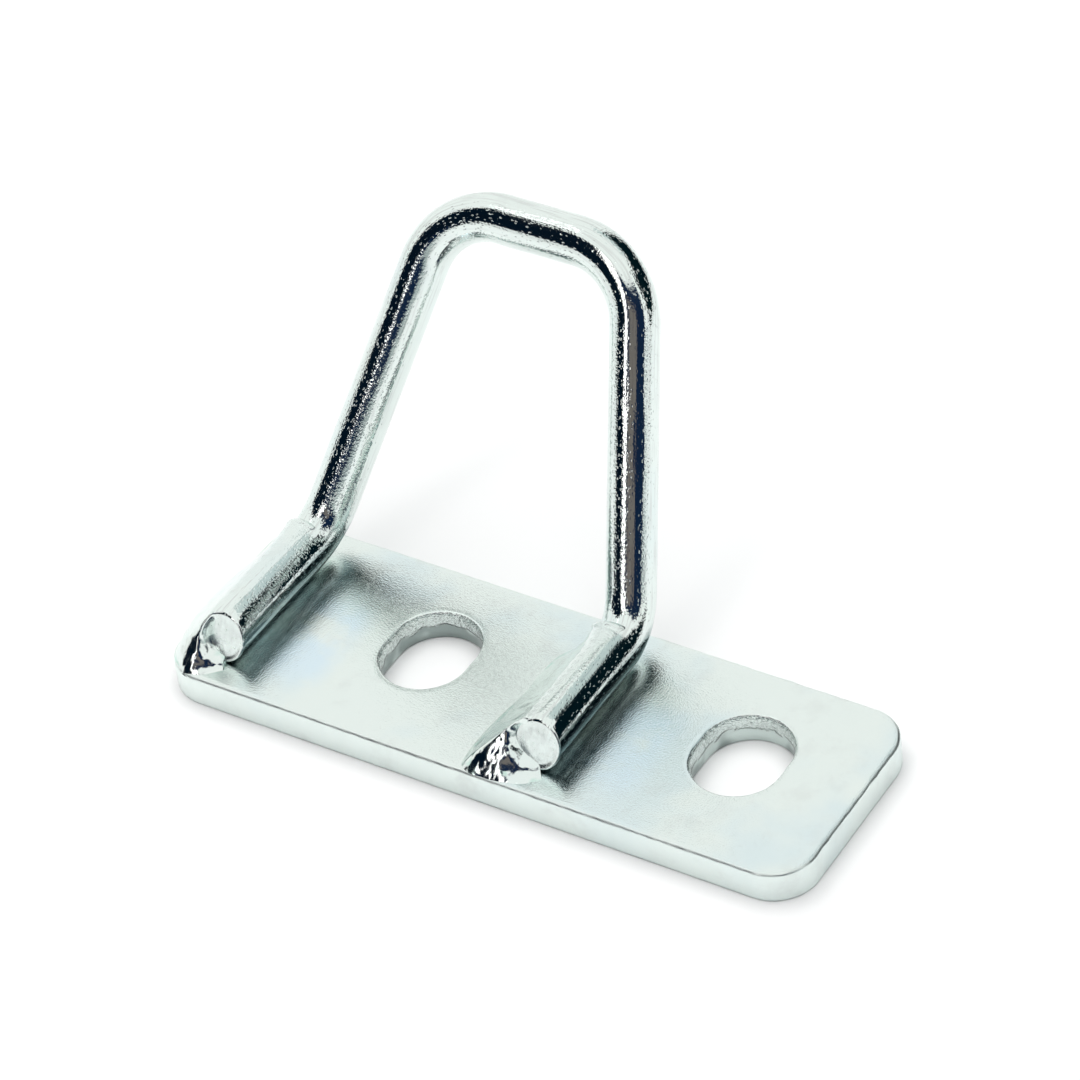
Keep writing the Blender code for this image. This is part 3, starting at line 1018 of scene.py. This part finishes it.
def make_floor(studio):
    """A plain pale floor just under the plate."""
    bm = bmesh.new()
    bmesh.ops.create_grid(bm, x_segments=8, y_segments=8, size=FLOOR_HALF_SIZE)
    mesh = bpy.data.meshes.new("studio_floor")
    bm.to_mesh(mesh)
    bm.free()
    floor = bpy.data.objects.new("studio_floor", mesh)
    floor.location.z = CAD_LOW.z - FLOOR_DROP
    bpy.context.scene.collection.objects.link(floor)
    material, nodes, shader = new_node_material("pale_floor")
    shade = nodes.fit(nodes.noise(nodes.position(), scale=0.01), *NOISE_RANGE, 0.0, 0.03)
    nodes.link(nodes.mix(shade, rgba(studio.floor), rgba(FLOOR_SHADE)), shader.inputs["Base Color"])
    shader.inputs["Roughness"].default_value = 0.9
    shader.inputs["Specular IOR Level"].default_value = 0.1
    mesh.materials.append(material)


def make_camera(studio):
    """A camera at a distance from its aim, turned about Z, tipped down and rolled."""
    data = bpy.data.cameras.new("studio_camera")
    data.lens = studio.lens
    data.sensor_width = 36.0
    data.clip_start = 0.01
    data.clip_end = 50.0
    camera = bpy.data.objects.new("studio_camera", data)
    bpy.context.scene.collection.objects.link(camera)
    turn = Matrix.Rotation(studio.azimuth, 4, "Z")
    tip = Matrix.Rotation(math.pi / 2 - studio.elevation, 4, "X")
    roll = Matrix.Rotation(studio.roll, 4, "Z")
    back = Matrix.Translation((0.0, 0.0, studio.distance))
    camera.matrix_world = Matrix.Translation(studio.aim) @ turn @ tip @ roll @ back
    bpy.context.scene.camera = camera


# What stands round the object: its name, its azimuth from +X, half width, lowest and highest elevation
# and soft edge, all in degrees, then its colour. Later ones hang in front of earlier ones.
SURROUNDINGS = (
    ("grey_haze", 82, 26, 44, 60, 6, (0.60, 0.68, 0.68)),
    ("front_room", -67, 58, 2, 53, 5, (0.006, 0.018, 0.050)),
    ("front_table", -48, 50, -8, 8, 4, (0.46, 0.50, 0.50)),
    ("brown_panel", -66, 19, 19, 40, 8, (0.185, 0.160, 0.150)),
    ("front_curtain", -132, 24, 3, 59, 2, (0.001, 0.006, 0.014)),
    ("side_curtain", 54, 41, -4, 47, 4, (0.001, 0.008, 0.012)),
    ("strip_light", -100, 8, 18, 57, 1.5, (2.2, 2.05, 2.05)),
    ("top_light", -174, 14, 60, 70, 3, (1.6, 1.6, 1.6)),
)


def patch_mask(nodes, direction, azimuth, half_width, low, high, edge):
    """1 inside a patch of the surroundings, 0 outside it, with a soft edge."""
    turn = math.radians(azimuth)
    along, across = (
        nodes.make("ShaderNodeVectorMath", {0: direction, 1: axis}, "Value", operation="DOT_PRODUCT")
        for axis in ((math.cos(turn), math.sin(turn), 0.0), (-math.sin(turn), math.cos(turn), 0.0)))
    swing = nodes.math("ABSOLUTE", nodes.math("ARCTAN2", across, along))
    rise = nodes.math("ARCSINE", nodes.split(direction)[2])
    fades = ((swing, half_width, edge / 2), (rise, low, -edge / 2), (rise, high, edge / 2))
    return nodes.product(*(
        nodes.fit(angle, math.radians(limit + fade), math.radians(limit - fade), smooth=True)
        for angle, limit, fade in fades))


def make_surroundings(studio):
    """A white light tent that is open towards a dark room in front and on the right."""
    world = bpy.data.worlds.new("light_tent")
    world.use_nodes = True
    bpy.context.scene.world = world
    nodes = Nodes(world.node_tree)
    background = world.node_tree.nodes["Background"]
    direction = nodes.make("ShaderNodeTexCoord", {}, "Generated")
    colour = rgba(studio.tent)
    for name, azimuth, half_width, low, high, edge, patch in SURROUNDINGS:
        mask = patch_mask(nodes, direction, azimuth, half_width, low, high, edge)
        colour = nodes.mix(mask, colour, rgba(patch))
        colour.node.label = name
    seen = nodes.make("ShaderNodeLightPath", {}, "Is Camera Ray")
    nodes.link(nodes.mix(seen, colour, rgba(studio.floor)), background.inputs["Color"])
    background.inputs["Strength"].default_value = 1.0


def make_overhead_light(power):
    """A wide light over the floor that keeps out of the metal's reflections."""
    data = bpy.data.lights.new("overhead_light", "AREA")
    data.shape = "SQUARE"
    data.size = 1.2
    data.energy = power
    light = bpy.data.objects.new("overhead_light", data)
    light.location = (0.0, 0.1, 1.0)
    light.visible_glossy = False
    bpy.context.scene.collection.objects.link(light)


class PADEYE_OT_studio(bpy.types.Operator):
    """Set up the floor, the lights and the camera"""

    bl_idname = "padeye.studio"
    bl_label = "Studio"

    def execute(self, context):
        studio = context.scene.pad_eye.studio
        make_floor(studio)
        make_surroundings(studio)
        make_overhead_light(studio.overhead_power)
        make_camera(studio)
        context.scene.view_settings.view_transform = "Standard"
        return {"FINISHED"}


# ---- Add-on ----

class PADEYE_PT_panel(bpy.types.Panel):
    """Lists the operators that build the pad eye and its studio"""

    bl_idname = "PADEYE_PT_panel"
    bl_label = "Pad Eye"
    bl_space_type = "VIEW_3D"
    bl_region_type = "UI"
    bl_category = "Pad Eye"

    def draw(self, context):
        for operator in OPERATORS:
            self.layout.operator(operator.bl_idname)


OPERATORS = (PADEYE_OT_studio, PADEYE_OT_plate, PADEYE_OT_loop, PADEYE_OT_welds)
CLASSES = (PlateSettings, LoopSettings, FinishSettings, StudioSettings, PadEyeSettings,
           *OPERATORS, PADEYE_PT_panel)


def register():
    for cls in CLASSES:
        bpy.utils.register_class(cls)
    bpy.types.Scene.pad_eye = bpy.props.PointerProperty(type=PadEyeSettings)


def unregister():
    del bpy.types.Scene.pad_eye
    for cls in reversed(CLASSES):
        bpy.utils.unregister_class(cls)


def main():
    register()
    bpy.ops.padeye.studio()
    bpy.ops.padeye.plate()
    bpy.ops.padeye.loop()
    bpy.ops.padeye.welds()


if __name__ == "__main__":
    main()
